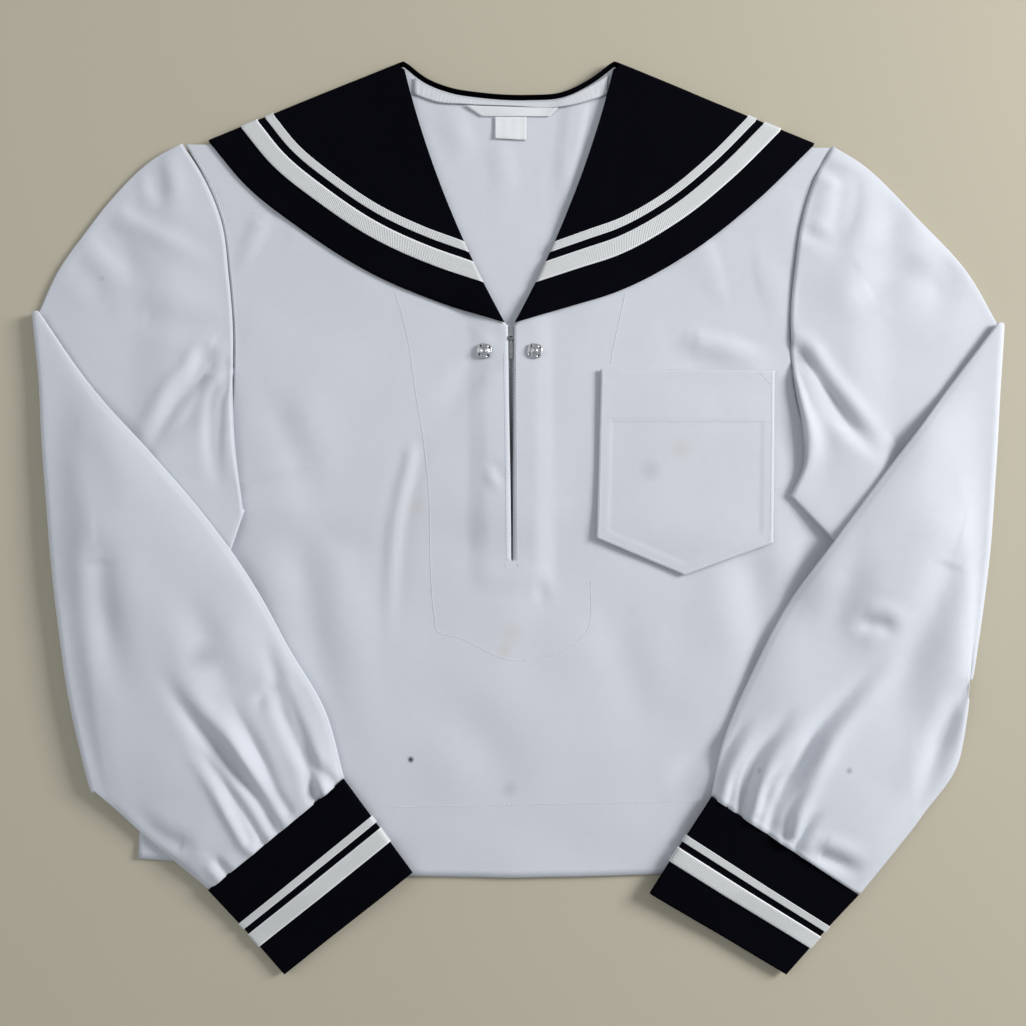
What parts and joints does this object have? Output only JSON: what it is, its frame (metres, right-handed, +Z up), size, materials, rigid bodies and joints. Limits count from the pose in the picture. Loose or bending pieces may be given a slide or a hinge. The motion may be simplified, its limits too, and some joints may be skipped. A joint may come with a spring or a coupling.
{
  "type": "sailor school uniform",
  "caption": "White long-sleeved sailor top with a navy taped collar and cuffs, a zip slit and a chest pocket, laid flat with its sleeves folded in.",
  "frame": {"origin": "middle of the laid garment's box, on the surface that it lies on", "axes": "+X to the picture's right, across the body; +Y from the hem towards the neck; +Z up from the surface"},
  "size_m": [0.5799, 0.5419, 0.0181],
  "materials": {
    "white_cloth": "plain weave, matt",
    "navy_cloth": "wool-look weave, matt",
    "white_tape": "ribbed braid, slight sheen",
    "binding": "plain weave, matt",
    "label": "satin weave",
    "zip_tape": "twill tape",
    "steel": "dull nickel plate"
  },
  "bodies": {
    "garment": {"back_panel": "white_cloth", "front_panel": "white_cloth", "pocket": "white_cloth", "sleeve_left": "white_cloth", "sleeve_right": "white_cloth", "collar": "navy_cloth", "cuff_left": "navy_cloth", "cuff_right": "navy_cloth", "collar_tape_wide": "white_tape", "collar_tape_narrow": "white_tape", "cuff_tape_wide_left": "white_tape", "cuff_tape_wide_right": "white_tape", "cuff_tape_narrow_left": "white_tape", "cuff_tape_narrow_right": "white_tape", "neck_binding": "binding", "neck_label": "label", "care_label": "label", "zip_tape_left": "zip_tape", "zip_tape_right": "zip_tape", "zip_slider": "steel", "snap_left": "steel", "snap_right": "steel"},
    "pull_tab": {"zip_pull_tab": "steel"}
  },
  "joints": [
    {"name": "pull_tab_hinge", "type": "hinge", "parent": "garment", "child": "pull_tab", "pos_m": [-0.0042, 0.1023, 0.0062], "axis": [-1, 0, 0], "range_deg": [0, 140]}
  ]
}
